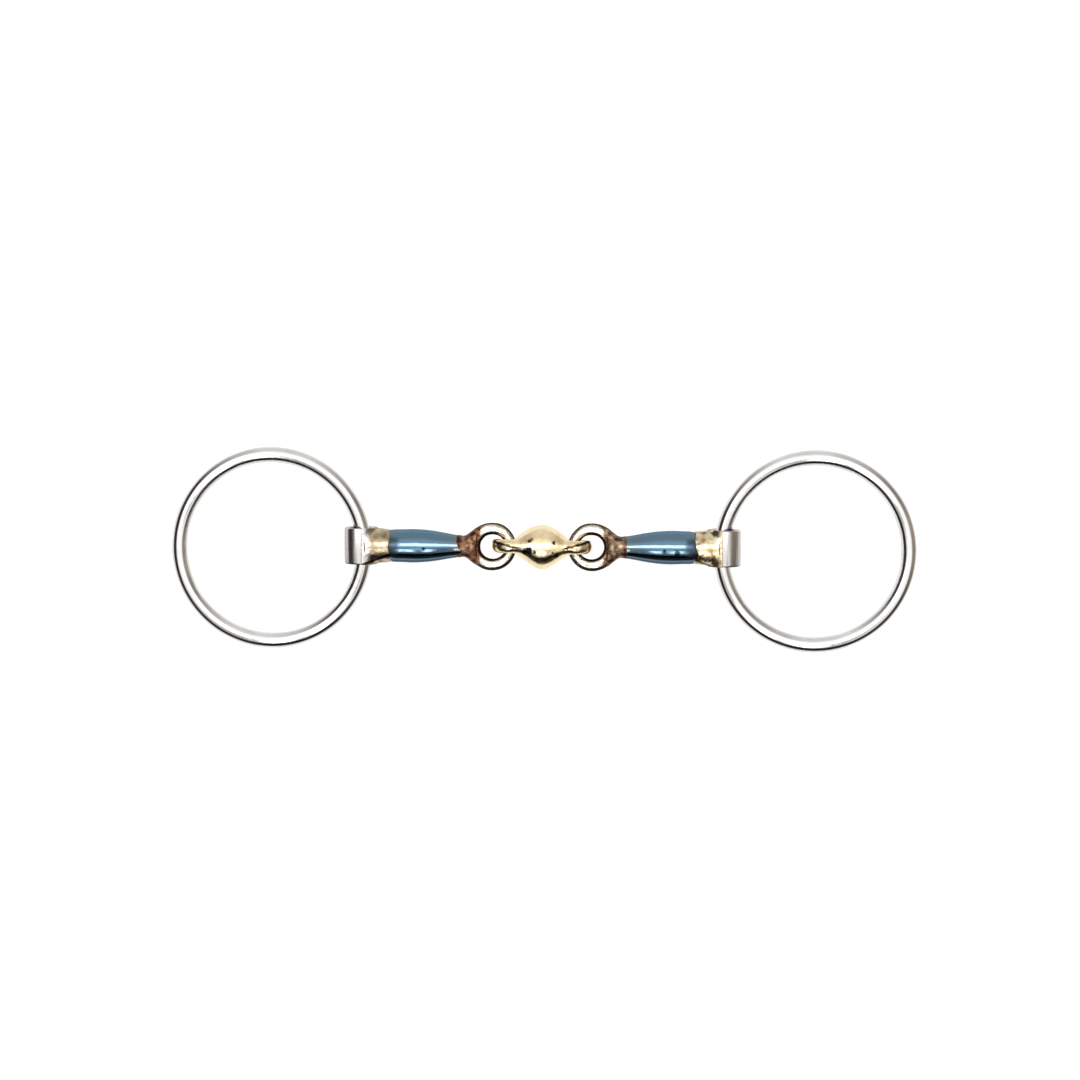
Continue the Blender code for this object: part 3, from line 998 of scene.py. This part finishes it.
def eye_metal(name):
    """Pale worn loop, brown where the braze was heated, with painted shade along its inner and
    outer edges.
    """
    metal = Metal(f"{name}_eye_metal", 0.16, edge_tint=(0.38, 0.32, 0.27))
    colour = metal.ramp(
        metal.noise(300, 4),
        [(0.3, (0.46, 0.37, 0.29)), (0.46, (0.72, 0.64, 0.54)), (0.7, (0.80, 0.74, 0.66))],
    )
    wander = metal.wander(420, 4, 1.3 * MM)
    heated = metal.spread(metal.math("ADD", metal.coordinate("X"), wander), 3.0 * MM, 4.4 * MM)
    brown = metal.ramp(
        metal.noise(640, 5, distortion=0.6),
        [(0.36, (0.06, 0.03, 0.018)), (0.5, (0.19, 0.10, 0.055)), (0.64, (0.30, 0.21, 0.15))],
    )
    colour = metal.mix(heated, colour, brown)

    # Painted shade: dark bands along the inner and outer edges of the wire, the outer one wider
    # towards -Y
    ragged = metal.spread(wander, -1.3 * MM, 1.3 * MM, -0.15 * MM, 0.15 * MM)
    edge = metal.math("ADD", metal.away_from(0.0, 0.0), ragged)
    inner = eye_size(name) - EYE_WIRE / 2
    outer = eye_size(name) + EYE_WIRE / 2
    inner_edge_shade = metal.spread(edge, inner + 0.35 * MM, inner + 0.70 * MM, 1.0, 0.0)
    world_y = metal.math("MULTIPLY", metal.coordinate("Y"), side_sign(name))
    near_side = metal.spread(world_y, 0.0, -4.0 * MM)
    outer_edge = metal.math("ADD", edge, metal.math("MULTIPLY", near_side, 0.30 * MM))
    outer_edge_shade = metal.spread(outer_edge, outer - 0.75 * MM, outer - 0.35 * MM, 0.0, 0.95)
    edge_shade = metal.math("MAXIMUM", inner_edge_shade, outer_edge_shade)
    polish = metal.spread(metal.noise(600, 4), 0.3, 0.7, 0.10, 0.28)
    metal.paint(
        metal.mix(edge_shade, colour, (0.030, 0.021, 0.015)),
        metal.math("ADD", polish, metal.math("MULTIPLY", heated, 0.30)),
    )
    metal.bump(metal.spread(metal.noise(850, 2), 0.58, 0.68, 1.0, 0.0), 0.06 * MM)
    return metal.material


def cast_brass():
    """Hand-polished cast brass, rippled, with dark spots partly tarnish and partly painted
    reflections, and painted shade along the flanks.
    """
    metal = Metal("cast_brass", 0.12)
    colour = metal.ramp(
        metal.noise(240, 5, distortion=0.3),
        [(0.28, (0.74, 0.57, 0.33)), (0.5, (0.90, 0.72, 0.44)), (0.72, (0.95, 0.82, 0.58))],
    )
    upper = metal.spread(metal.coordinate("Z"), 0.0, 1.0 * MM)
    ragged = metal.spread(metal.noise(620, 5, distortion=0.6), 0.3, 0.7, -0.45 * MM, 0.45 * MM)
    # Dark spots on the top: partly tarnish, partly painted dark reflections beside the highlight
    for place_x, place_y, radius in TARNISH_AND_DARK_REFLECTIONS:
        away = metal.math("ADD", metal.away_from(place_x, place_y), ragged)
        spot = metal.spread(away, radius - 0.25 * MM, radius + 0.25 * MM, 1.0, 0.0)
        colour = metal.mix(metal.math("MULTIPLY", spot, upper), colour, (0.024, 0.020, 0.017))

    # Painted shade: a dark streak along the top of each flank, for the shade of a shallow hollow
    # there
    far = metal.math("ABSOLUTE", metal.coordinate("X"))
    line = metal.math("ADD", metal.math("MULTIPLY", far, -0.25), 2.0 * MM)
    line = metal.math("ADD", line, metal.math("MULTIPLY", ragged, 0.6))
    off_line = metal.math("ABSOLUTE", metal.math("ADD", metal.coordinate("Y"), line))
    flank_shade = metal.spread(off_line, 0.25 * MM, 0.65 * MM, 1.0, 0.0)
    flank_shade = metal.math("MULTIPLY", flank_shade, metal.spread(far, 7.0 * MM, 8.4 * MM))
    colour = metal.mix(metal.math("MULTIPLY", flank_shade, upper), colour, (0.022, 0.015, 0.010))
    metal.paint(colour, metal.spread(metal.noise(520, 4), 0.3, 0.75, 0.10, 0.26))
    metal.bump(metal.noise(430, 3), 0.045 * MM)
    return metal.material


# ---------------------------------------------------------------- studio

def build_camera():
    """A long lens above the bit, leaning towards +Y and +X as the view does."""
    toward = Vector((math.sin(CAMERA_TILT_X), math.sin(CAMERA_TILT_Y), 0.0))
    toward.z = math.sqrt(1.0 - toward.length_squared)
    up = (Vector((0, 1, 0)) - toward * toward.y).normalized()
    right = up.cross(toward)
    turned_right = math.cos(CAMERA_ROLL) * right + math.sin(CAMERA_ROLL) * up
    turned_up = math.cos(CAMERA_ROLL) * up - math.sin(CAMERA_ROLL) * right
    data = bpy.data.cameras.new("camera")
    data.sensor_width = 36.0
    data.lens = data.sensor_width * CAMERA_DISTANCE / FRAME_WIDTH
    data.clip_start = 0.05
    data.clip_end = 20.0
    camera = bpy.data.objects.new("camera", data)
    place = Matrix((turned_right, turned_up, toward)).transposed().to_4x4()
    camera.matrix_world = Matrix.Translation(AIM + toward * CAMERA_DISTANCE) @ place
    bpy.context.scene.collection.objects.link(camera)
    bpy.context.scene.camera = camera


def build_floor():
    """A plain pale floor that glows a little, so that it looks white under the metals."""
    mesh = bpy.data.meshes.new("floor")
    size = 6.0
    corners = [(-size, -size, 0), (size, -size, 0), (size, size, 0), (-size, size, 0)]
    mesh.from_pydata(corners, [], [(0, 1, 2, 3)])
    material = bpy.data.materials.new("floor")
    material.use_nodes = True
    shader = material.node_tree.nodes["Principled BSDF"]
    shader.inputs["Base Color"].default_value = (0.35, 0.35, 0.35, 1.0)
    shader.inputs["Roughness"].default_value = 0.9
    shader.inputs["Specular IOR Level"].default_value = 0.0
    shader.inputs["Emission Color"].default_value = (1.0, 1.0, 1.0, 1.0)
    shader.inputs["Emission Strength"].default_value = 0.83
    mesh.materials.append(material)
    floor = bpy.data.objects.new("floor", mesh)
    floor.visible_glossy = False
    bpy.context.scene.collection.objects.link(floor)


class Sky(Nodes):
    """The room as the metals reflect it, by the direction that a ray leaves in."""

    def __init__(self, tree):
        super().__init__(tree)
        split = self.node("ShaderNodeSeparateXYZ")
        self.link(self.node("ShaderNodeTexCoord").outputs["Generated"], split.inputs["Vector"])
        x, y, z = (split.outputs[key] for key in "XYZ")
        self.lean_y = self.math("ARCTAN2", y, z)
        self.lean_x = self.math("ARCTAN2", x, z)
        self.share = self.math("DIVIDE", self.math("ARCCOSINE", z), math.pi)
        self.turn = self.math("MULTIPLY_ADD", self.math("ARCTAN2", y, x), 1.0 / math.tau, 0.5)

    def by_turn(self, values):
        """A colour by the angle round from +X, for (angle in degrees, colour) pairs."""
        return self.ramp(self.turn, [(angle / 360 + 0.5, colour) for angle, colour in values])

    def below(self, edge, soft):
        """1 where the direction is lower than the edge, soft by so many degrees each way."""
        drop = self.math("SUBTRACT", self.share, edge)
        return self.math("MULTIPLY_ADD", drop, 90.0 / soft, 0.5, clamp=True)

    def band(self, value, limits, soft):
        """1 where value is between two limits in degrees, with soft edges."""
        low, high = limits
        parts = [
            self.spread(value, math.radians(start), math.radians(end), curve="SMOOTHSTEP")
            for start, end in ((low - soft, low + soft), (high + soft, high - soft))
        ]
        return self.math("MULTIPLY", *parts)

    def lamp(self, sky, rise, across, soft, colour):
        """Lay a plain patch over the sky, between two leans towards +Y and two towards +X."""
        patch = self.math(
            "MULTIPLY", self.band(self.lean_y, rise, soft), self.band(self.lean_x, across, soft)
        )
        return self.mix(patch, sky, colour)


def build_studio():
    """White room with overhead lamps, dark to the front and left, and grey to the right."""
    world = bpy.data.worlds.new("studio")
    world.use_nodes = True
    bpy.context.scene.world = world
    world.node_tree.nodes.clear()
    room = Sky(world.node_tree)
    walls = room.by_turn([(angle, colour) for angle, _, _, colour in WALLS])
    limits = room.by_turn([(angle, (top / 180, low / 180, 0.0)) for angle, top, low, _ in WALLS])
    edges = room.node("ShaderNodeSeparateColor")
    room.link(limits, edges.inputs["Color"])
    sky = room.mix(room.below(edges.outputs["Red"], 10.0), OVERHEAD, walls)
    for lamp in LAMPS:
        sky = room.lamp(sky, *lamp)
    sky = room.mix(room.below(edges.outputs["Green"], 6.0), sky, GROUND)
    sky = room.mix(room.node("ShaderNodeLightPath").outputs["Is Camera Ray"], sky, (1.0, 1.0, 1.0))
    background = room.node("ShaderNodeBackground")
    room.link(sky, background.inputs["Color"])
    output = room.node("ShaderNodeOutputWorld")
    room.link(background.outputs["Background"], output.inputs["Surface"])
    world.cycles.sampling_method = "MANUAL"
    world.cycles.sample_map_resolution = 1024
    bpy.context.scene.view_settings.view_transform = "Standard"


build_camera()
build_floor()
build_studio()
ring_material = ring_steel()
sleeve_low, sleeve_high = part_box("right_sleeve")
sleeve_material = sleeve_steel((sleeve_high.y - sleeve_low.y) / 2)
build_lozenge(cast_brass())
for side_name in ("left", "right"):
    offset = cannon_offset(side_name)
    build_ring(side_name, ring_material)
    build_sleeve(side_name, sleeve_material)
    build_eye(side_name, eye_metal(side_name))
    build_barrel(side_name, blued_steel(side_name, offset))
    build_web(side_name, eye_size(side_name), heat_tinted_braze(side_name))
    build_saddle(side_name, golden_braze(side_name, offset, sleeve_offset(side_name)))
